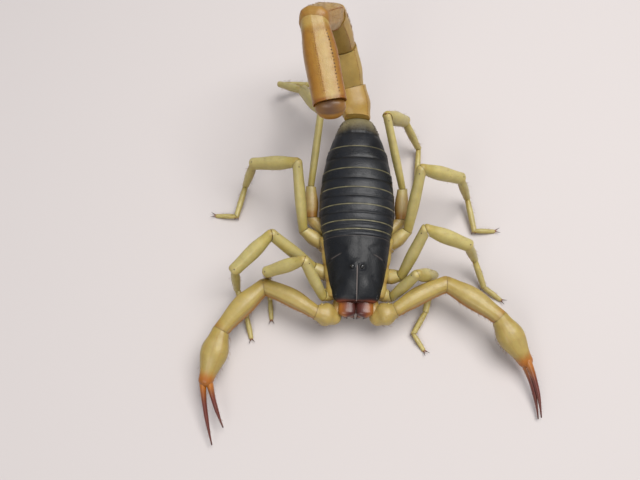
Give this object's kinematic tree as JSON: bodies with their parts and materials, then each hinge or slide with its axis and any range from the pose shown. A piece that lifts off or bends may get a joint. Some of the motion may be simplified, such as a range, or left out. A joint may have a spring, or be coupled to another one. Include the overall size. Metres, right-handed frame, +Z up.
{
  "type": "desert hairy scorpion",
  "caption": "Life-size scorpion standing on its feet, black back, straw-coloured legs and claws, tail arched over the back.",
  "frame": {"origin": "centre of the footprint of the whole animal, at floor level", "axes": "+Z up, head towards -Y, tail towards +Y, the animal's left side towards +X"},
  "size_m": [0.0684, 0.0844, 0.039],
  "materials": {
    "black_plate": "blue-black shell with a soft gloss",
    "dark_brown": "dark brown shell",
    "amber": "amber shell, half gloss",
    "straw": "straw-yellow shell, half gloss",
    "belly": "pale yellow-brown shell",
    "red_brown": "red-brown shell",
    "eye": "black, glossy"
  },
  "bodies": {
    "root": {"carapace": "black_plate", "prosoma_underside": "belly", "tergite_1": "black_plate", "tergite_2": "black_plate", "tergite_3": "black_plate", "tergite_4": "black_plate", "tergite_5": "black_plate", "tergite_6": "black_plate", "tergite_7": "black_plate", "belly": "belly", "eye_right": "eye", "chelicera_right": "red_brown", "chelicera_finger_right": "red_brown", "pecten_right": "belly", "eye_left": "eye", "chelicera_left": "red_brown", "chelicera_finger_left": "red_brown", "pecten_left": "belly", "metasoma_1": "amber", "metasoma_2": "amber", "metasoma_3": "amber", "metasoma_4": "amber", "metasoma_5": "amber", "telson_vesicle": "amber", "telson_sting": "dark_brown", "pedipalp_right_trochanter": "straw", "pedipalp_right_femur": "straw", "pedipalp_right_patella": "straw", "pedipalp_right_palm": "amber", "pedipalp_right_finger": "red_brown", "leg_right_1_femur": "straw", "leg_right_1_patella": "straw", "leg_right_1_tibia": "straw", "leg_right_2_femur": "straw", "leg_right_2_patella": "straw", "leg_right_2_tibia": "straw", "leg_right_3_femur": "straw", "leg_right_3_patella": "straw", "leg_right_3_tibia": "straw", "leg_right_4_femur": "straw", "leg_right_4_patella": "straw", "leg_right_4_tibia": "straw", "pedipalp_left_trochanter": "straw", "pedipalp_left_femur": "straw", "pedipalp_left_patella": "straw", "pedipalp_left_palm": "amber", "pedipalp_left_finger": "red_brown", "leg_left_1_femur": "straw", "leg_left_1_patella": "straw", "leg_left_1_tibia": "straw", "leg_left_2_femur": "straw", "leg_left_2_patella": "straw", "leg_left_2_tibia": "straw", "leg_left_3_femur": "straw", "leg_left_3_patella": "straw", "leg_left_3_tibia": "straw", "leg_left_4_femur": "straw", "leg_left_4_patella": "straw", "leg_left_4_tibia": "straw"}
  },
  "joints": []
}
